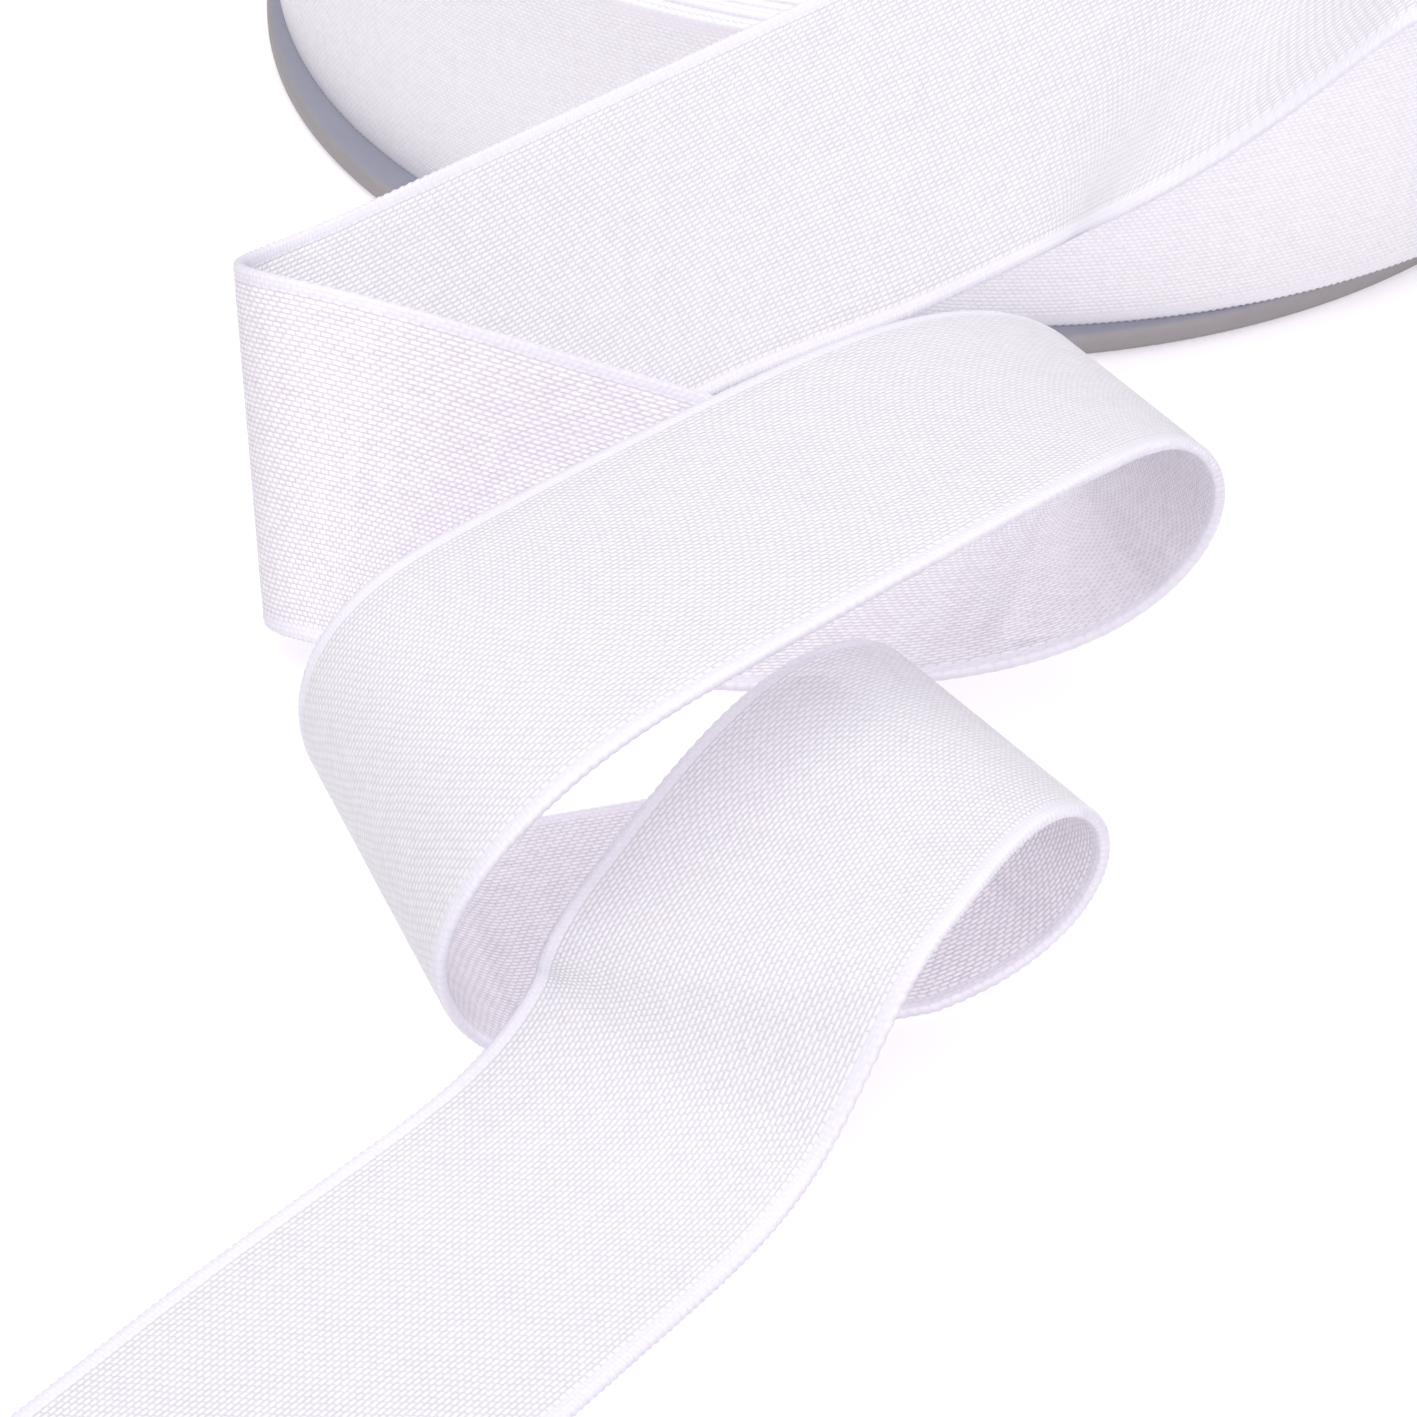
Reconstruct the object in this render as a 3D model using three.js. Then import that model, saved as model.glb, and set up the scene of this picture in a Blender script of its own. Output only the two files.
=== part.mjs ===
// A roll of elastic: wide satin elastic wound on itself and standing on a grey flange disc. Its loose
// end runs off the outermost turn, comes down to the table on its edge, and is turned back on itself
// in open loops until it lies flat.
//
// Millimetres, +Z up, the table at z = 0. +X is to the right of someone who sits at the loose end,
// and +Y points away from them, towards the roll.
import * as THREE from 'three';

// ---------------------------------------------------------------------------------------------
// Driving dimensions
// ---------------------------------------------------------------------------------------------
const tape = {
  width: 25,            // selvedge to selvedge
  thickness: 1.0,
  crossLineSpacing: 1.5,
};

const gap = 0.3;        // left between pieces that touch

const flange = {
  radius: 60,
  boreRadius: 20,
  thickness: 2.0,
  rimRadius: 0.8,       // rounding of its outer and inner rims
  centre: { x: 20, y: 103.4 },
  sides: 128,
};

const roll = {
  outerRadius: 63.75,   // where the outermost turn ends and the loose tape carries on from it
  eyeRadius: 21,        // the open middle
  edgeRadius: 0.5,      // rounding of the wound form's corners
  centre: { x: 23.9, y: 108.6 },
  leavingAngle: 60.3,   // where the outermost turn ends, in degrees from +X
  stepSpan: 0.4,        // degrees taken by the step at either end of the wound tape
  sides: 120,
};

// The cut end of the loose tape lies flat on the table: the middle of the cut, and the way in which
// the tape runs from it, in degrees from +X.
const cutEnd = { x: -42, y: -86.7, heading: 49.8 };

// From the cut end back to the roll, each row is one bend of the tape. It is centred `at` mm along
// the tape and spread `over` a length of it. `turn` is its angle in degrees, plus where the tape
// curls away from its satin face. `slant` is how far the bend line leans forwards, in degrees from
// square across the tape, at the selvedge on the left of someone who walks along the satin face.
const bends = [
  { name: 'lifts off the table', at: 61, over: 32, turn: -79, slant: -5 },
  { name: 'levels', at: 68.5, over: 13, turn: 53.5, slant: -25 },
  { name: 'front loop', at: 100, over: 53, turn: 203, slant: 18 },
  { name: 'runs under', at: 124, over: 61, turn: 0, slant: -8 },
  { name: 'left loop', at: 153.5, over: 57, turn: 172.5, slant: 14 },
  { name: 'crosses over', at: 197, over: 45, turn: 3.5, slant: -31 },
  { name: 'right loop', at: 232.5, over: 65, turn: 194, slant: 28 },
  { name: 'comes down', at: 259, over: 47, turn: -54, slant: -44 },
  { name: 'stands up', at: 267, over: 42, turn: 73, slant: -56 },
  { name: 'standing bend', at: 306.5, over: 36, turn: -193, slant: 20 },
  { name: 'leans back', at: 375.5, over: 14, turn: 7.5, slant: 34 },
  { name: 'rises', at: 398, over: 31, turn: -32.5, slant: 58 },
  { name: 'crest', at: 415.5, over: 12, turn: 70.5, slant: 41 },
  { name: 'round the roll', at: 477.5, over: 59, turn: 56.5, slant: 35 },
  { name: 'meets the wall', at: 517.5, over: 45, turn: 34.5, slant: -44 },
  { name: 'follows the wall', at: 556, over: 62, turn: 20, slant: 0 },
];
const tapeLength = 557;

// Where the tape lies against itself or the roll, one selvedge gives way: it rises by `rise` and is
// drawn in by `drawn`. `side` is 1 for the left selvedge and -1 for the right one.
const rests = [
  { name: 'on the left loop', at: 57, over: 62, side: 1, rise: 1.6, drawn: 2.2 },
  { name: 'under the front loop', at: 149, over: 36, side: -1, rise: -0.8, drawn: 2.3 },
  { name: 'clear of the standing bend', at: 350, over: 40, side: -1, rise: 0.6, drawn: 0.5 },
  { name: 'over the rim of the roll', at: 390, over: 40, side: -1, rise: 0.4, drawn: 0 },
];

// ---------------------------------------------------------------------------------------------
// The loose tape
// ---------------------------------------------------------------------------------------------
const radians = THREE.MathUtils.degToRad;
const up = new THREE.Vector3(0, 0, 1);

// A bend's rate of turning, in radians for each mm, is a raised cosine: nothing at either end of its
// stretch and twice the mean in the middle.
function turnRate(distance) {
  let rate = 0;
  for (const bend of bends) {
    const phase = (distance - bend.at) / bend.over;
    if (Math.abs(phase) < 0.5) {
      rate += radians(bend.turn) / bend.over * (1 + Math.cos(2 * Math.PI * phase));
    }
  }
  return rate;
}

// The tangent of the bend line's slant, blended from each bend to the next. Both ends of the tape
// are cut square across.
function slantTangent(distance) {
  const marks = [{ at: 0, slant: 0 }, ...bends, { at: tapeLength, slant: 0 }];
  const next = Math.max(1, marks.findIndex((mark) => mark.at >= distance));
  const before = marks[next - 1];
  const after = marks[next];
  return THREE.MathUtils.lerp(
    Math.tan(radians(before.slant)),
    Math.tan(radians(after.slant)),
    THREE.MathUtils.smoothstep(distance, before.at, after.at),
  );
}

// The bend line, per unit of the tape's width: it lies straight in the tape, from selvedge to
// selvedge.
function bendLineAt(distance, travel, face) {
  return new THREE.Vector3().crossVectors(face, travel)
    .addScaledVector(travel, slantTangent(distance));
}

// Walks along the tape's centre line. Tape that is bent and never stretched turns, at each point,
// about the bend line there.
function walkTape() {
  const heading = radians(cutEnd.heading);
  const place = new THREE.Vector3(cutEnd.x, cutEnd.y, tape.thickness / 2);
  const travel = new THREE.Vector3(Math.cos(heading), Math.sin(heading), 0);
  const face = up.clone();
  const steps = Math.round(tapeLength / tape.crossLineSpacing);
  const step = tapeLength / steps;
  const crossLines = [];
  for (let i = 0; i <= steps; i += 1) {
    const bendLine = bendLineAt(i * step, travel, face);
    crossLines.push({ distance: i * step, place: place.clone(), face: face.clone(), bendLine });

    const halfWay = (i + 0.5) * step;
    const axis = bendLineAt(Math.min(halfWay, tapeLength), travel, face);
    const angle = turnRate(halfWay) * step * axis.length();
    axis.normalize();
    travel.applyAxisAngle(axis, angle / 2);
    place.addScaledVector(travel, step);
    travel.applyAxisAngle(axis, angle / 2);
    face.applyAxisAngle(axis, angle);
  }
  return crossLines;
}

// How far one selvedge rises and is drawn in, where the tape lies against something.
function restAt(distance, side) {
  let rise = 0;
  let drawn = 0;
  for (const rest of rests) {
    const phase = (distance - rest.at) / rest.over;
    if (Math.abs(phase) < 0.5 && side === rest.side) {
      const share = (1 + Math.cos(2 * Math.PI * phase)) / 2;
      rise += rest.rise * share;
      drawn += rest.drawn * share;
    }
  }
  return { rise, drawn };
}

// Joins rings of points, all of the same length, into a closed skin. The first and last rings are
// closed with a face each, unless the rings themselves run round to the first again.
function skin(rings, isLoop) {
  const positions = rings.flat().flatMap((point) => point.toArray());
  const size = rings[0].length;
  const triangles = [];
  const spans = isLoop ? rings.length : rings.length - 1;
  for (let i = 0; i < spans; i += 1) {
    const here = i * size;
    const there = ((i + 1) % rings.length) * size;
    for (let j = 0; j < size; j += 1) {
      const next = (j + 1) % size;
      triangles.push(here + j, there + j, there + next, here + j, there + next, here + next);
    }
  }
  if (!isLoop) {
    const last = (rings.length - 1) * size;
    for (let j = 1; j < size - 1; j += 1) {
      triangles.push(0, j, j + 1, last, last + j + 1, last + j);
    }
  }
  const geometry = new THREE.BufferGeometry();
  geometry.setAttribute('position', new THREE.Float32BufferAttribute(positions, 3));
  geometry.setIndex(triangles);
  geometry.computeVertexNormals();
  return geometry;
}

// The table carries the tape: no point of its skins goes below it.
function looseTapeGeometry() {
  const corners = [[-1, -1], [-1, 1], [1, 1], [1, -1]];
  const rings = walkTape().map(({ distance, place, face, bendLine }) => (
    corners.map(([side, skinSide]) => {
      const { rise, drawn } = restAt(distance, side);
      const point = place.clone().addScaledVector(bendLine, side * (tape.width / 2 - drawn));
      const outwards = face.clone().multiplyScalar(skinSide * tape.thickness / 2);
      point.z = Math.max(point.z + rise, Math.abs(outwards.z));
      return point.add(outwards);
    })
  ));
  return skin(rings, false);
}

// ---------------------------------------------------------------------------------------------
// The wound roll: every turn of the tape as one ring. Its outside and its eye are spirals that wind
// in by one tape's thickness in a turn, so each has one step, where an end of the wound tape lies.
// ---------------------------------------------------------------------------------------------
function roundedSection(innerRadius, outerRadius, bottom, top, corner) {
  const inset = corner * (1 - Math.SQRT1_2);
  return [
    [innerRadius, bottom + corner], [innerRadius + inset, bottom + inset],
    [innerRadius + corner, bottom], [outerRadius - corner, bottom],
    [outerRadius - inset, bottom + inset], [outerRadius, bottom + corner],
    [outerRadius, top - corner], [outerRadius - inset, top - inset],
    [outerRadius - corner, top], [innerRadius + corner, top],
    [innerRadius + inset, top - inset], [innerRadius, top - corner],
  ];
}

function woundRollGeometry() {
  const bottom = flange.thickness + gap;
  const rings = [];
  for (let i = 0; i <= roll.sides; i += 1) {
    const share = i / roll.sides;
    const angle = radians(roll.leavingAngle + share * (360 - roll.stepSpan));
    const woundIn = tape.thickness * share;
    const section = roundedSection(
      roll.eyeRadius - woundIn,
      roll.outerRadius - woundIn,
      bottom,
      bottom + tape.width,
      roll.edgeRadius,
    );
    rings.push(section.map(([radius, height]) => new THREE.Vector3(
      roll.centre.x + radius * Math.cos(angle),
      roll.centre.y + radius * Math.sin(angle),
      height,
    )));
  }
  return skin(rings, true);
}

// ---------------------------------------------------------------------------------------------
// The flange: a flat disc with rounded rims and a hole in the middle
// ---------------------------------------------------------------------------------------------
function flangeGeometry() {
  const section = roundedSection(flange.boreRadius, flange.radius, 0, flange.thickness,
    flange.rimRadius);
  const outline = [...section, section[0]].map(([radius, height]) => (
    new THREE.Vector2(radius, height)
  ));
  const geometry = new THREE.LatheGeometry(outline, flange.sides);
  geometry.rotateX(Math.PI / 2);
  return geometry;
}

// ---------------------------------------------------------------------------------------------
// The parts
// ---------------------------------------------------------------------------------------------
const elastic = { color: 0xece7f1, roughness: 0.55, metalness: 0 };
const greyPlastic = { color: 0x8a8c96, roughness: 0.5, metalness: 0 };

function part(name, geometry, look) {
  const mesh = new THREE.Mesh(geometry, new THREE.MeshStandardMaterial(look));
  mesh.name = name;
  return mesh;
}

const disc = part('flange', flangeGeometry(), greyPlastic);
disc.position.set(flange.centre.x, flange.centre.y, 0);

const group = new THREE.Group();
group.add(disc);
group.add(part('wound_roll', woundRollGeometry(), elastic));
group.add(part('loose_tape', looseTapeGeometry(), elastic));

// The origin is on the table, under the middle of the whole.
const middle = new THREE.Box3().setFromObject(group).getCenter(new THREE.Vector3());
group.position.set(-middle.x, -middle.y, 0);

export default group;
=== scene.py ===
# %% [markdown]
# # A roll of elastic
# Wide satin elastic is wound in a flat roll that stands on a thin grey disc. Its loose end runs off
# the outermost turn, turns back on itself in open loops and lies flat on the table. Three pieces
# make the whole: the loose tape, the wound tape and the disc. The file goes in this order: the
# camera, the table and its light, the shapes, and at the end the weave and the other finishes.

# %% Open the frame
import math

import bpy
import numpy as np
from mathutils import Matrix, Vector


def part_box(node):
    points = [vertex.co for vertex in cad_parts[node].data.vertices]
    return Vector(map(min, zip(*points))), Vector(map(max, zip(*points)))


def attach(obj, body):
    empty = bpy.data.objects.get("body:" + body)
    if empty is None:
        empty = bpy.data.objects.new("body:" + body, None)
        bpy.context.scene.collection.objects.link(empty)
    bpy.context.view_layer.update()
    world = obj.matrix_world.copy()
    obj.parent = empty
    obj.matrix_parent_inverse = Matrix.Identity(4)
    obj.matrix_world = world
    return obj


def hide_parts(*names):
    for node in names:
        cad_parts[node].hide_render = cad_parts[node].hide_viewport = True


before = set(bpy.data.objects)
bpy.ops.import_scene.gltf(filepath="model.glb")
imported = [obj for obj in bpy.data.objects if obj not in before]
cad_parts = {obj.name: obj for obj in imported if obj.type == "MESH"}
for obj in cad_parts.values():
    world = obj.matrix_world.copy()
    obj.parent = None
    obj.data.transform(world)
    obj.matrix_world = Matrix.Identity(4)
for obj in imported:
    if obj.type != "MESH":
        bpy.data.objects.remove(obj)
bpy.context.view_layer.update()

# %% [markdown]
# ## One origin for all
# The disc is the one round piece, so the middle of its CAD box is a sure landmark. Every place below
# is given in millimetres from a point on the table, and `on_table` moves it to where the CAD is.

# %% The landmark
MM = 0.001
DISC_CENTRE = (20.0, 103.4)
disc_low, disc_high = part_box("flange")
shift = Vector(((disc_low[0] + disc_high[0]) / 2 - DISC_CENTRE[0] * MM,
                (disc_low[1] + disc_high[1]) / 2 - DISC_CENTRE[1] * MM, 0))


def on_table(x, y, z):
    return Vector((x, y, z)) * MM + shift


print("shift, mm:", [round(value * 1000, 2) for value in shift])

# %% [markdown]
# ## The camera
# A long lens from nearby keeps the roll's rim close to a true ellipse. The camera looks along +Y and
# down at the table, and the roll runs out of the top of the picture, as in a close product shot.

# %% The camera
LENS_MM = 101.6
LOOKS_DOWN = 39.3
bpy.ops.object.camera_add(location=on_table(0, -220.5, 180.5),
                          rotation=(math.radians(90 - LOOKS_DOWN), 0, 0))
camera = bpy.context.object
camera.name = "camera"
camera.data.lens = LENS_MM
camera.data.sensor_width = 36.0
camera.data.clip_start = 0.01
bpy.context.scene.camera = camera
print("camera at, mm:", [round(value * 1000) for value in camera.location])

# %% [markdown]
# ## The table and the light
# White cloth on a white table only shows its folds when the light is broad and the shadows keep a
# little colour. So the sky and two fill lamps that throw no shadow are a faint lilac, which reaches
# the insides of the loops. One large key lamp leans to green, so that the outsides and the table,
# where all of them meet, come out close to white.

# %% The table
TABLE_DROP = 0.05
bpy.ops.mesh.primitive_plane_add(size=6, location=(0, 0, -TABLE_DROP * MM))
table_top = bpy.context.object
table_top.name = "table_top"

# %% The light
SKY = (0.93, 0.885, 0.945)
LILAC = (1.0, 0.95, 1.0)
COOL_WHITE = (0.92, 1.0, 0.92)
LAMPS_FACE = (10, 30, 0)
bpy.context.scene.view_settings.view_transform = "Standard"
sky = bpy.data.worlds.new("soft_studio")
sky.use_nodes = True
sky.node_tree.nodes["Background"].inputs["Color"].default_value = (*SKY, 1)
sky.node_tree.nodes["Background"].inputs["Strength"].default_value = 0.55
bpy.context.scene.world = sky


def soft_lamp(name, place, size, watts, colour, shadow):
    """A square area lamp at `place`, in millimetres, that faces the loops on the table."""
    bpy.ops.object.light_add(type="AREA", location=on_table(*place))
    lamp = bpy.context.object
    lamp.name = name
    lamp.data.size = size
    lamp.data.energy = watts
    lamp.data.color = colour
    lamp.data.use_shadow = shadow
    aim = on_table(*LAMPS_FACE) - lamp.location
    lamp.rotation_euler = aim.to_track_quat("-Z", "Y").to_euler()


soft_lamp("key_lamp", (-250, 250, 900), size=1.4, watts=3.0, colour=COOL_WHITE, shadow=True)
soft_lamp("fill_lamp", (100, 100, 950), size=1.0, watts=5.3, colour=LILAC, shadow=False)
soft_lamp("front_fill_lamp", (40, -720, 590), size=0.8, watts=5.2, colour=LILAC, shadow=False)

# %% [markdown]
# ## The path of the loose tape
# Woven tape bends but hardly stretches, so its shape is one long walk. At each step the tape turns
# about a bend line that lies straight across it. A square bend line gives a plain loop, and a
# slanted one makes the tape wander sideways as it rolls over, so one row a bend is all the shape
# needs. The rests are an exception to the rule of no stretch: where the tape lies against something,
# one selvedge rises or sinks a little and is drawn in by up to 2.3 mm.
#
# The numbers in `BENDS`, `CUT_END` and `CUT_HEADING` were fitted by a program and then rounded. They
# were not chosen by hand. Those in `RESTS` were given one by one.

# %% The bends
WIDTH = 25.0
CAD_THICKNESS = 1.0
TAPE_LENGTH = 557.0
CROSS_LINE_SPACING = 1.5
CUT_END = (-42.0, -86.7)
CUT_HEADING = 49.8
BENDS = [
    # where along the tape, over what length, by what angle, and how far the bend line leans
    dict(name="lifts off the table", at=61, over=32, turn=-79, slant=-5),
    dict(name="levels", at=68.5, over=13, turn=53.5, slant=-25),
    dict(name="front loop", at=100, over=53, turn=203, slant=18),
    dict(name="runs under", at=124, over=61, turn=0, slant=-8),
    dict(name="left loop", at=153.5, over=57, turn=172.5, slant=14),
    dict(name="crosses over", at=197, over=45, turn=3.5, slant=-31),
    dict(name="right loop", at=232.5, over=65, turn=194, slant=28),
    dict(name="comes down", at=259, over=47, turn=-54, slant=-44),
    dict(name="stands up", at=267, over=42, turn=73, slant=-56),
    dict(name="standing bend", at=306.5, over=36, turn=-193, slant=20),
    dict(name="leans back", at=375.5, over=14, turn=7.5, slant=34),
    dict(name="rises", at=398, over=31, turn=-32.5, slant=58),
    dict(name="crest", at=415.5, over=12, turn=70.5, slant=41),
    dict(name="round the roll", at=477.5, over=59, turn=56.5, slant=35),
    dict(name="meets the wall", at=517.5, over=45, turn=34.5, slant=-44),
    dict(name="follows the wall", at=556, over=62, turn=20, slant=0),
]
RESTS = [
    # where one selvedge gives way because the tape lies against itself or the roll
    dict(name="on the left loop", at=57, over=62, side=1, rise=1.6, drawn=2.2),
    dict(name="under the front loop", at=149, over=36, side=-1, rise=-0.8, drawn=2.3),
    dict(name="clear of the standing bend", at=350, over=40, side=-1, rise=0.6, drawn=0.5),
    dict(name="over the rim of the roll", at=390, over=40, side=-1, rise=0.4, drawn=0),
]


# %% How sharply it bends, and along which line
def turn_rate(distance):
    rate = 0.0
    for bend in BENDS:
        phase = (distance - bend["at"]) / bend["over"]
        if abs(phase) < 0.5:
            swell = 1 + math.cos(2 * math.pi * phase)
            rate += math.radians(bend["turn"]) / bend["over"] * swell
    return rate


def slant_tangent(distance):
    marks = [dict(at=0, slant=0), *BENDS, dict(at=TAPE_LENGTH, slant=0)]
    after = max(1, next(i for i, mark in enumerate(marks) if mark["at"] >= distance))
    first, last = marks[after - 1], marks[after]
    share = (distance - first["at"]) / (last["at"] - first["at"])
    share = share * share * (3 - 2 * share)
    low, high = math.tan(math.radians(first["slant"])), math.tan(math.radians(last["slant"]))
    return low + (high - low) * share


def bend_line(distance, travel, face):
    return face.cross(travel) + travel * slant_tangent(distance)


# %% The walk
def walk_tape():
    """The step, and the places, bend lines and faces of the cross lines as arrays."""
    heading = math.radians(CUT_HEADING)
    place = Vector((*CUT_END, CAD_THICKNESS / 2))
    travel = Vector((math.cos(heading), math.sin(heading), 0))
    face = Vector((0, 0, 1))
    steps = round(TAPE_LENGTH / CROSS_LINE_SPACING)
    step = TAPE_LENGTH / steps
    places, lines, faces = [], [], []
    for i in range(steps + 1):
        places.append(place.copy())
        lines.append(bend_line(i * step, travel, face))
        faces.append(face.copy())
        half_way = (i + 0.5) * step
        axis = bend_line(min(half_way, TAPE_LENGTH), travel, face)
        angle = turn_rate(half_way) * step * axis.length
        travel.rotate(Matrix.Rotation(angle / 2, 3, axis))
        place += travel * step
        travel.rotate(Matrix.Rotation(angle / 2, 3, axis))
        face.rotate(Matrix.Rotation(angle, 3, axis))
    return step, np.array(places), np.array(lines), np.array(faces)


def rest_at(distance, side):
    rise = drawn = 0.0
    for rest in RESTS:
        phase = (distance - rest["at"]) / rest["over"]
        if abs(phase) < 0.5 and rest["side"] == side:
            share = (1 + math.cos(2 * math.pi * phase)) / 2
            rise += rest["rise"] * share
            drawn += rest["drawn"] * share
    return rise, drawn


def selvedge(side, step, places, lines):
    """The middle of the tape's thickness along one selvedge."""
    points = []
    for i, (place, line) in enumerate(zip(places, lines)):
        rise, drawn = rest_at(i * step, side)
        point = place + line * side * (WIDTH / 2 - drawn)
        points.append(point + [0, 0, rise])
    return np.array(points)


step, places, lines, faces = walk_tape()
left_selvedge = selvedge(1, step, places, lines)
right_selvedge = selvedge(-1, step, places, lines)
print("cross lines:", len(places), "highest, mm:", round(float(left_selvedge[:, 2].max()), 1))

# %% [markdown]
# ## From the path to cloth
# The walk gives one cross line every 1.5 mm, which is too coarse for a smooth loop. A Catmull-Rom
# curve through them adds lines between, and keeps every one that was there. The section is not a
# plain rectangle: the selvedge is a firm band with a shallow groove beside it, and its rim is
# rounded. Every other line is pushed out a little at the rim, which gives the fine teeth that the
# weft makes where it turns round.

# %% Finer lines
def finer(points, times):
    """Catmull-Rom points between those given, `times` as many."""
    padded = np.concatenate([2 * points[:1] - points[1:2], points, 2 * points[-1:] - points[-2:-1]])
    before, start, end, after = padded[:-3], padded[1:-2], padded[2:-1], padded[3:]
    rows = []
    for k in range(times):
        t = k / times
        rows.append(0.5 * (2 * start + (end - before) * t
                           + (2 * before - 5 * start + 4 * end - after) * t ** 2
                           + (3 * start - before - 3 * end + after) * t ** 3))
    fine = np.stack(rows, axis=1).reshape(-1, points.shape[1])
    return np.concatenate([fine, points[-1:]])


# %% The section of the tape
THICKNESS = 0.8
TOOTH = 0.055
half = THICKNESS / 2
FROM_EDGE = [
    # distance in from the selvedge, share of the half thickness, share of the tooth
    (0.00, 0.00, 1.0), (0.06, 0.55, 1.0), (0.22, 0.92, 0.6), (0.50, 1.00, 0.2), (0.90, 1.00, 0.0),
    (1.08, 0.88, 0.0), (1.30, 0.98, 0.0), (3.00, 1.00, 0.0), (6.00, 1.00, 0.0), (9.50, 1.00, 0.0),
]
upper = [(-WIDTH / 2 + inset, lift, -tooth) for inset, lift, tooth in FROM_EDGE]
upper += [(WIDTH / 2 - inset, lift, tooth) for inset, lift, tooth in reversed(FROM_EDGE)]
lower = [(across, -lift, tooth) for across, lift, tooth in reversed(upper[1:-1])]
SECTION = upper + lower
print("points in the section:", len(SECTION))


# %% A closed mesh from rings
def strip(name, rings, along, across, outside):
    """A closed strip through the rings of points, in millimetres, with ends. Its UV map is in
    millimetres too: U runs along the tape and V across it. `outside` says how far each point of a
    ring belongs to the satin face, from 0 to 1."""
    count, size = len(rings), len(rings[0])
    corners = (np.asarray(rings).reshape(-1, 3) * MM + np.array(shift)).tolist()
    quads, uvs = [], []
    for i in range(count - 1):
        for j in range(size):
            k = (j + 1) % size
            quads.append((i * size + j, (i + 1) * size + j, (i + 1) * size + k, i * size + k))
            uvs += [(along[i], across[j]), (along[i + 1], across[j]),
                    (along[i + 1], across[k]), (along[i], across[k])]
    last = (count - 1) * size
    quads.append(tuple(range(size)))
    uvs += [(along[0], across[j]) for j in range(size)]
    quads.append(tuple(last + j for j in reversed(range(size))))
    uvs += [(along[-1], across[j]) for j in reversed(range(size))]
    mesh = bpy.data.meshes.new(name)
    mesh.from_pydata(corners, [], quads)
    layer = mesh.uv_layers.new(name="cloth")
    layer.data.foreach_set("uv", np.array(uvs, dtype=np.float32).ravel())
    satin = mesh.attributes.new("satin_face", "FLOAT", "POINT")
    satin.data.foreach_set("value", np.tile(np.array(outside, dtype=np.float32), count))
    mesh.validate()
    mesh.update()
    piece = bpy.data.objects.new(name, mesh)
    bpy.context.collection.objects.link(piece)
    return piece


def smooth(piece, angle=50):
    bpy.ops.object.select_all(action="DESELECT")
    piece.select_set(True)
    bpy.context.view_layer.objects.active = piece
    bpy.ops.object.shade_smooth_by_angle(angle=math.radians(angle))


# %% The loose tape
FINER = 5
left_line = finer(left_selvedge, FINER)
right_line = finer(right_selvedge, FINER)
face_line = finer(faces, FINER)
face_line /= np.linalg.norm(face_line, axis=1)[:, None]
along = np.linspace(0, TAPE_LENGTH, len(left_line))
rings = []
for i, (left, right, face) in enumerate(zip(left_line, right_line, face_line)):
    outwards = (left - right) / np.linalg.norm(left - right)
    tooth = TOOTH if i % 2 else -TOOTH
    ring = []
    for across, lift, toothed in SECTION:
        share = across / WIDTH + 0.5
        point = right * (1 - share) + left * share
        point[2] = max(point[2], CAD_THICKNESS / 2) - CAD_THICKNESS / 2 + half
        ring.append(point + face * lift * half + outwards * toothed * tooth)
    rings.append(ring)
loose_tape = strip("loose_tape_cloth", rings, along,
                   [across + WIDTH / 2 for across, lift, tooth in SECTION],
                   [(lift + 1) / 2 for across, lift, tooth in SECTION])
smooth(loose_tape)
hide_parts("loose_tape")
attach(loose_tape, "root")
print("loose tape:", len(loose_tape.data.polygons), "faces")

# %% [markdown]
# ## The wound tape
# On the real roll this is the same tape, turn on turn. It could be a plain ring with grooves, but
# the flat top of a roll shows every selvedge edge on, and each stands a hair higher or lower than
# its neighbour. So the wound tape is one true spiral, drawn from the outside in. The turns lie a
# little apart, as the cloth is softer than its CAD.

# %% The spiral
ROLL_CENTRE = (23.9, 108.6)
OUTER_RADIUS = 63.75
EYE_RADIUS = 21.0
LEAVING_ANGLE = 60.3
PITCH = 1.0
ROLL_FOOT = 2.1
WOUND_THICKNESS = 0.9
LEFT_OUT_AT_EYE = 0.4
turns = (OUTER_RADIUS - EYE_RADIUS) / PITCH - LEFT_OUT_AT_EYE
FINE_TURNS = 1.15
FINE_STEP = 0.29
MEETS_LOOSE_TAPE = -0.33
COARSE_STEP = 3.0
degrees = list(np.arange(MEETS_LOOSE_TAPE, FINE_TURNS * 360, FINE_STEP))
degrees += list(np.arange(degrees[-1] + COARSE_STEP, turns * 360, COARSE_STEP))
print("turns:", round(turns, 1), "sections:", len(degrees))


def unevenness(angle):
    """How far a turn's edge stands up, in mm: slow waves that do not repeat from turn to turn."""
    return (0.10 * math.sin(0.0291 * angle) + 0.07 * math.sin(0.0173 * angle + 1.3)
            + 0.06 * math.sin(0.0071 * angle + 0.4) + 0.03 * math.sin(0.113 * angle))


# %% The wound strip
CORNER = 0.25
INNER_CORNER = 0.08
WOUND_TOOTH = 0.22
START_SWELL = 0.7
SWELL_FADES_BY = 25
wound_half = WOUND_THICKNESS / 2
WOUND_SECTION = [
    # out from the middle of the tape, up its width, share of the tooth
    (-wound_half, CORNER, 0), (-wound_half + INNER_CORNER, INNER_CORNER, 0.5),
    (-wound_half + CORNER, 0, 1), (wound_half - CORNER, 0, 1),
    (wound_half - INNER_CORNER, INNER_CORNER, 0.5), (wound_half, CORNER, 0),
    (wound_half, WIDTH - CORNER, 0), (wound_half - INNER_CORNER, WIDTH - INNER_CORNER, -0.5),
    (wound_half - CORNER, WIDTH, -1), (-wound_half + CORNER, WIDTH, -1),
    (-wound_half + INNER_CORNER, WIDTH - INNER_CORNER, -0.5), (-wound_half, WIDTH - CORNER, 0),
]
rings, along, run = [], [], 0.0
previous = None
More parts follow.
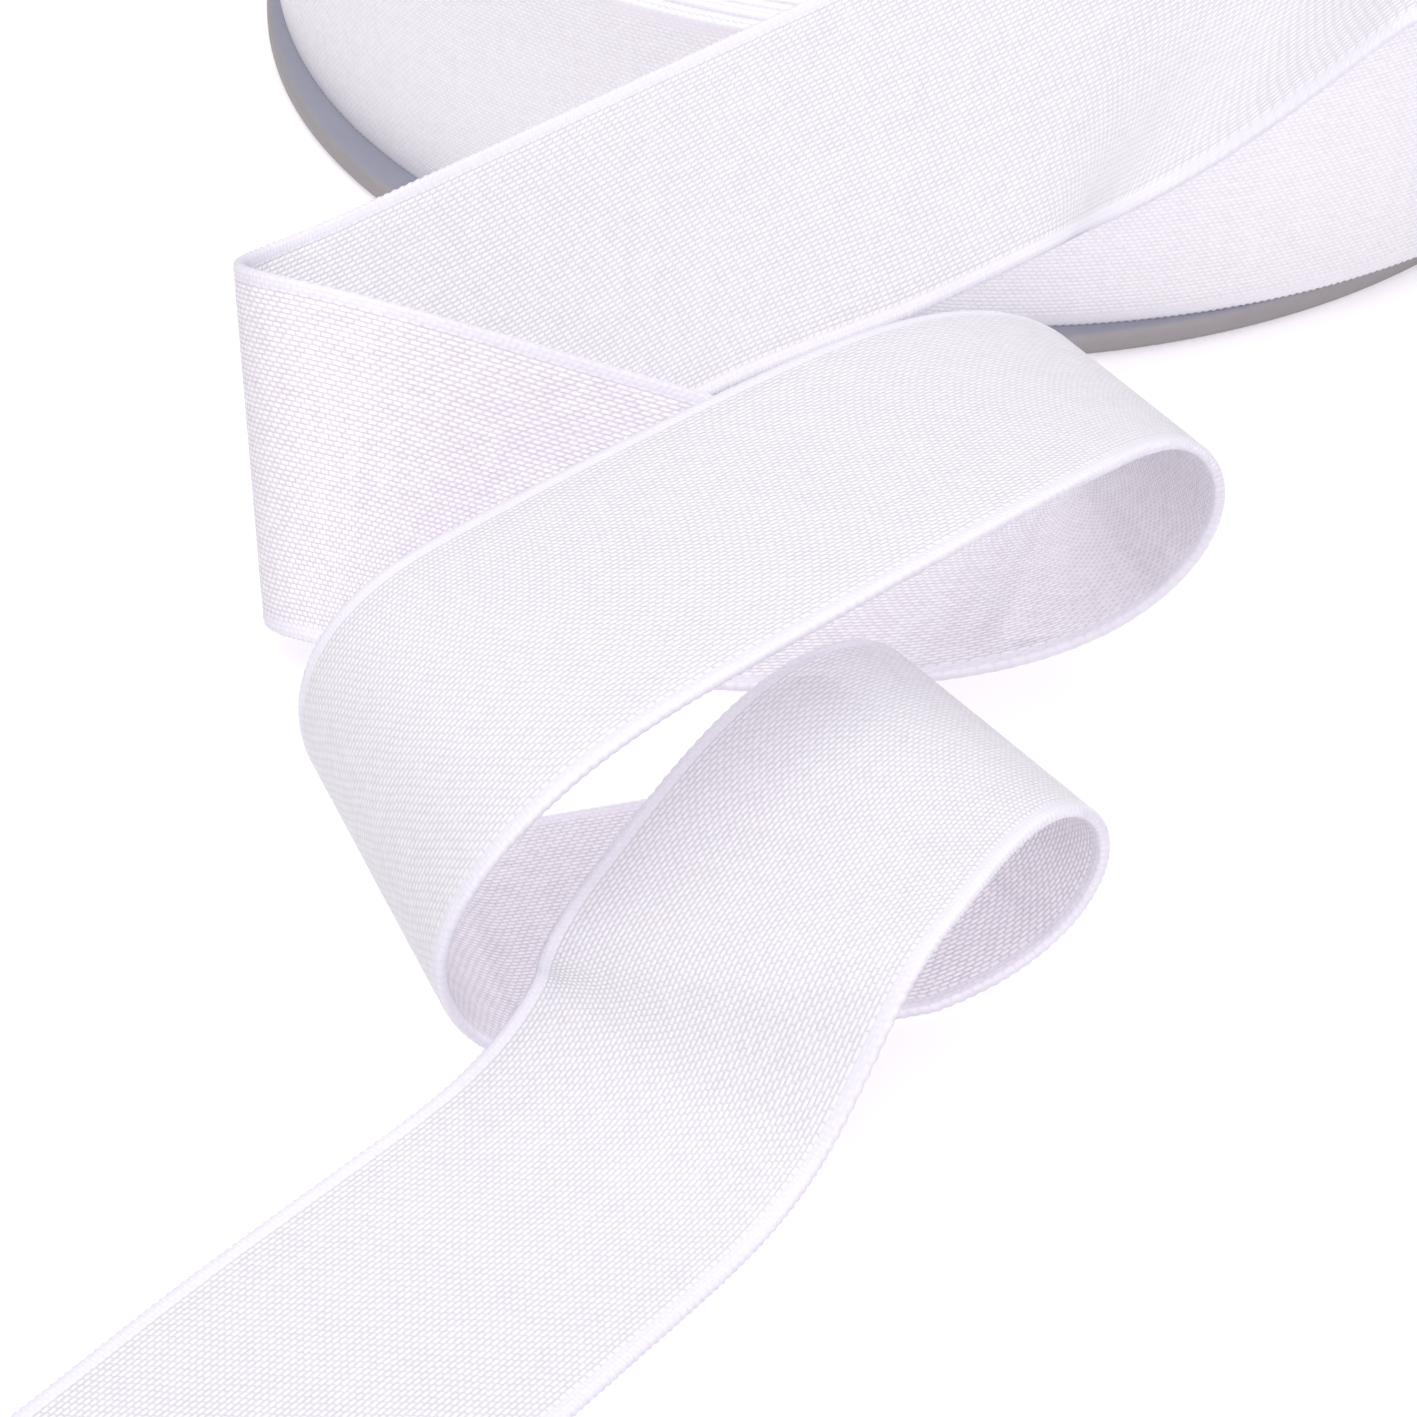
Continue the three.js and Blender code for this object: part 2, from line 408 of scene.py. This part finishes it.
for i, angle in enumerate(degrees):
    radius = OUTER_RADIUS - PITCH / 2 - PITCH * angle / 360
    radius += START_SWELL * max(0, 1 - angle / SWELL_FADES_BY) ** 2
    turn = math.radians(LEAVING_ANGLE + angle)
    lift = ROLL_FOOT + unevenness(angle)
    tooth = WOUND_TOOTH if i % 2 and angle < FINE_TURNS * 360 else 0.0
    ring = []
    for out, height, toothed in WOUND_SECTION:
        ring.append((ROLL_CENTRE[0] + (radius + out) * math.cos(turn),
                     ROLL_CENTRE[1] + (radius + out) * math.sin(turn),
                     lift + height - tooth * toothed))
    if previous is not None:
        run += math.radians(angle - previous[0]) * (radius + previous[1]) / 2
    previous = (angle, radius)
    rings.append(ring)
    along.append(run)
wound_tape = strip("wound_tape", rings, along, [height for out, height, tooth in WOUND_SECTION],
                   [0.5 + out / WOUND_THICKNESS for out, height, tooth in WOUND_SECTION])
smooth(wound_tape)
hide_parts("wound_roll")
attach(wound_tape, "root")
run * MM
print("wound tape:", round(run / 1000, 2), "m,", len(wound_tape.data.polygons), "faces")

# %% [markdown]
# ## The disc
# A flange keeps the turns in line while the roll is carried. It is a thin moulded disc with a soft
# rim. A circle is drawn, its edge is pulled outwards into a ring, a Solidify modifier gives it
# body, and a Bevel modifier rounds its rims.

# %% The disc
DISC_RADIUS = 60.0
DISC_BORE = 20.0
DISC_THICKNESS = 2.0
RIM_ROUNDING = 0.7
bpy.ops.object.select_all(action="DESELECT")
bpy.ops.mesh.primitive_circle_add(vertices=256, radius=DISC_BORE * MM,
                                  location=on_table(*DISC_CENTRE, 0))
disc = bpy.context.object
disc.name = "disc"
bpy.ops.object.mode_set(mode="EDIT")
bpy.ops.mesh.select_all(action="SELECT")
bpy.ops.mesh.extrude_edges_move()
bpy.ops.transform.resize(value=(DISC_RADIUS / DISC_BORE,) * 3)
bpy.ops.mesh.select_all(action="SELECT")
bpy.ops.mesh.normals_make_consistent(inside=False)
bpy.ops.object.mode_set(mode="OBJECT")
if disc.data.polygons[0].normal.z < 0:
    disc.data.flip_normals()
solid = disc.modifiers.new("body", "SOLIDIFY")
solid.thickness = DISC_THICKNESS * MM
solid.offset = 1
rounded = disc.modifiers.new("soft_rims", "BEVEL")
rounded.width = RIM_ROUNDING * MM
rounded.segments = 4
rounded.limit_method = "ANGLE"
for modifier in ("body", "soft_rims"):
    bpy.ops.object.modifier_apply(modifier=modifier)
bpy.ops.object.transform_apply(location=True, rotation=True, scale=True)
smooth(disc, 40)
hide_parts("flange")
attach(disc, "root")
print("disc:", len(disc.data.polygons), "faces, from z",
      round(min(v.co.z for v in disc.data.vertices) * 1000, 2), "mm")

# %% [markdown]
# ## Writing shader maths
# A weave is arithmetic on the cloth's own coordinates. Wired by hand it is dozens of Math nodes, so
# `Wire` lets Python's operators add them, and `Finish.node` adds any other kind.

# %% Wires and finishes
def plug(socket, value):
    """Links a wire to a socket, or sets the socket's own value."""
    if isinstance(value, Wire):
        socket.id_data.links.new(value.socket, socket)
    else:
        socket.default_value = value


class Wire:
    """A shader socket that Python's operators work on."""

    def __init__(self, socket):
        self.socket = socket

    def math(self, operation, *others):
        node = self.socket.id_data.nodes.new("ShaderNodeMath")
        node.operation = operation
        for slot, value in zip(node.inputs, (self, *others)):
            plug(slot, value)
        return Wire(node.outputs[0])

    def __add__(self, other):
        return self.math("ADD", other)

    def __sub__(self, other):
        return self.math("SUBTRACT", other)

    def __rsub__(self, other):
        return self.math("MULTIPLY_ADD", -1.0, other)

    def __mul__(self, other):
        return self.math("MULTIPLY", other)

    def __truediv__(self, other):
        return self.math("DIVIDE", other)

    __radd__ = __add__


class Finish:
    """A new material whose nodes are added in code."""

    def __init__(self, name, piece):
        self.material = bpy.data.materials.new(name)
        self.material.use_nodes = True
        self.tree = self.material.node_tree
        self.tree.nodes.clear()
        piece.data.materials.clear()
        piece.data.materials.append(self.material)

    def node(self, kind, settings=(), sockets=(), output=0):
        made = self.tree.nodes.new("ShaderNode" + kind)
        for name, value in dict(settings).items():
            setattr(made, name, value)
        for name, value in dict(sockets).items():
            plug(made.inputs[name], value)
        return Wire(made.outputs[output]) if made.outputs else made

    def blend(self, share, first, second):
        return self.node("Mix", {"data_type": "RGBA"}, {0: share, 6: first, 7: second}, output=2)

    def surface(self, **sockets):
        names = {name.replace("_", " "): value for name, value in sockets.items()}
        shader = self.node("BsdfPrincipled", sockets=names)
        self.node("OutputMaterial", sockets={"Surface": shader})


# %% [markdown]
# ## The weave
# Satin elastic is woven with long floats: short raised grains that lie along the tape in rows about
# a third of a millimetre apart, each row two fifths of a grain on from the last. From a distance the
# grains line up in faint slanting lines. One wave along a row and one across it give the grain, and
# a row's number shifts it. The selvedge has no grains, only fine cross ribs.

# %% The grains, the selvedge and the streaks
GRAIN_LENGTH = 0.58
ROW_SPACING = 0.35
ROW_SHIFT = 0.40
WAVER = 0.11
SELVEDGE_BAND = 1.05
BAND_BLENDS = (-0.12, 0.05)


def humps(steps, power):
    """From 0 to 1 and back for each whole step. A power under 1 gives the hump a flat top."""
    return (steps.math("FRACT") * math.pi).math("SINE").math("POWER", power)


def woven_grains(cloth, along, across):
    """The grains' height, from 0 to 1, and a value per grain for its gloss and its painted glint."""
    waver = ((along * 0.83 + across * 0.31).math("SINE")
             + (along * 0.37 - across * 1.13).math("SINE")) * WAVER
    across_row = across / ROW_SPACING + waver * 0.3
    row = across_row.math("FLOOR")
    odd = cloth.node("TexWhiteNoise", {"noise_dimensions": "1D"}, {"W": row})
    grain_at = along / GRAIN_LENGTH + row * ROW_SHIFT + odd * 0.1 + waver * 0.6
    number = cloth.node("CombineXYZ", sockets={"X": grain_at.math("FLOOR"), "Y": row})
    gloss_and_glint = cloth.node("TexWhiteNoise", {"noise_dimensions": "2D"}, {"Vector": number})
    return humps(grain_at, 0.45) * humps(across_row, 0.6), gloss_and_glint


def selvedge_band(cloth, across):
    """1 on the firm band along each selvedge, and 0 between the two."""
    inner_side = WIDTH / 2 - SELVEDGE_BAND
    return cloth.node("MapRange", {"interpolation_type": "SMOOTHSTEP"}, {
        "Value": (across - WIDTH / 2).math("ABSOLUTE"),
        "From Min": inner_side + BAND_BLENDS[0], "From Max": inner_side + BAND_BLENDS[1]})


def streaks(cloth, place, along_scale, across_scale):
    """Soft noise, drawn out along the tape or across it."""
    stretched = cloth.node("VectorMath", {"operation": "MULTIPLY"},
                           {0: place, 1: (along_scale, across_scale, 1.0)})
    return cloth.node("TexNoise", {"noise_dimensions": "2D"},
                      {"Vector": stretched, "Scale": 1.0, "Detail": 2.0})


# %% The elastic's finish
RIB_SPACING = 0.32
RELIEF_HEIGHT = 0.09
SHEEN = (0.97, 0.94, 1.0, 1)


def elastic_finish(name, piece, relief_share, satin, satin_gap, back, back_gap, selvedge_tint):
    """A woven finish. `satin` and `back` colour the grains of the two faces, and the gaps between
    the grains have a colour of their own on each face."""
    cloth = Finish(name, piece)
    place = cloth.node("UVMap", {"uv_map": "cloth"})
    along = cloth.node("SeparateXYZ", sockets={"Vector": place})
    across = Wire(along.socket.node.outputs["Y"])
    outside = cloth.node("Attribute", {"attribute_name": "satin_face"}, output=2)

    grain, gloss_and_glint = woven_grains(cloth, along, across)
    band = selvedge_band(cloth, across)
    rib = (along * (2 * math.pi / RIB_SPACING)).math("SINE") * 0.5 + 0.5
    relief = grain * (1 - band) + (rib * 0.25 + 0.55) * band
    bump = cloth.node("Bump", sockets={"Strength": relief_share, "Distance": RELIEF_HEIGHT * MM,
                                       "Height": relief})

    # Painted glints: the per-grain value paints some grains lighter, as if they caught the light. The
    # two soft streaks are the weave's own uneven tone.
    tone_and_glint = (streaks(cloth, place, 0.03, 1.6) * 0.14 + streaks(cloth, place, 1.3, 0.05) * 0.2
             + gloss_and_glint * 0.22)
    grains = cloth.blend(outside, (*back, 1), (*satin, 1))
    gaps = cloth.blend(outside, (*back_gap, 1), (*satin_gap, 1))
    woven = cloth.blend((grain * 0.8 + tone_and_glint).math("MINIMUM", 1.0), gaps, grains)
    colour = cloth.blend(band * 0.6, woven, (*selvedge_tint, 1))
    cloth.surface(Base_Color=colour, Roughness=0.66 - grain * (gloss_and_glint * 0.25 + 0.1), Normal=bump,
                  Sheen_Weight=0.08, Sheen_Roughness=0.4, Sheen_Tint=SHEEN,
                  Specular_IOR_Level=0.45)
    print(name, "nodes:", len(cloth.tree.nodes))


# %% The finish on each tape
elastic_finish("satin_elastic", loose_tape, relief_share=0.75,
               satin=(0.71, 0.718, 0.735), satin_gap=(0.57, 0.545, 0.59),
               back=(0.78, 0.77, 0.795), back_gap=(0.52, 0.465, 0.54),
               selvedge_tint=(0.68, 0.675, 0.74))
elastic_finish("satin_elastic_wound", wound_tape, relief_share=0.4,
               satin=(0.78, 0.785, 0.80), satin_gap=(0.64, 0.61, 0.66),
               back=(0.78, 0.77, 0.80), back_gap=(0.54, 0.50, 0.56),
               selvedge_tint=(0.73, 0.72, 0.76))

# %% [markdown]
# ## The disc and the table
# The disc is matt grey plastic. A fine noise breaks up its colour and its gloss, as moulded plastic
# is never quite even. Its rim is painted a little lighter and warmer, as painted light, and its face
# a little darker and bluer, as painted shade from the roll. The table stays plain, so that nothing
# draws the eye from the cloth.

# %% The grey plastic
LIT_RIM_BLENDS = (-0.8, -0.1)
SPECKLE_HEIGHT = 0.05
plastic = Finish("grey_plastic", disc)
here = plastic.node("TexCoord", output=3)
centre = on_table(*DISC_CENTRE, 0)
flat_place = plastic.node("VectorMath", {"operation": "MULTIPLY"}, {0: here, 1: (1, 1, 0)})
out = plastic.node("VectorMath", {"operation": "DISTANCE"}, {0: flat_place, 1: tuple(centre)},
                   output=1)
# Painted light and shade: this mask marks the rim, which is painted lighter and warmer as if lit,
# while the face inside it is painted darker and bluer as the roll's shade.
lit_rim = plastic.node("MapRange", {"interpolation_type": "SMOOTHSTEP"},
                   {"Value": out, "From Min": (DISC_RADIUS + LIT_RIM_BLENDS[0]) * MM,
                    "From Max": (DISC_RADIUS + LIT_RIM_BLENDS[1]) * MM})
speckle = plastic.node("TexNoise", {}, {"Vector": here, "Scale": 900.0, "Detail": 3.0})
cloudy = plastic.node("TexNoise", {}, {"Vector": here, "Scale": 40.0, "Detail": 2.0})
uneven = speckle * 0.5 + cloudy * 0.5
# The face grey holds painted shade and the rim grey holds painted light. Within each one, the noise
# between two greys is the plastic's own unevenness.
shaded_face_grey = plastic.blend(uneven, (0.19, 0.20, 0.25, 1), (0.27, 0.28, 0.33, 1))
lit_rim_grey = plastic.blend(uneven, (0.225, 0.215, 0.215, 1), (0.31, 0.295, 0.295, 1))
plastic.surface(Base_Color=plastic.blend(lit_rim, shaded_face_grey, lit_rim_grey),
                Roughness=0.4 + speckle * 0.25,
                Normal=plastic.node("Bump", sockets={"Strength": 0.15, "Distance": SPECKLE_HEIGHT * MM,
                                                     "Height": speckle}))

# %% The table's finish
white = Finish("white_table", table_top)
faint = white.node("TexNoise", {}, {"Vector": white.node("TexCoord", output=3), "Scale": 6.0})
white.surface(Base_Color=white.blend(faint, (0.93, 0.93, 0.935, 1), (0.95, 0.95, 0.955, 1)),
              Roughness=0.9)
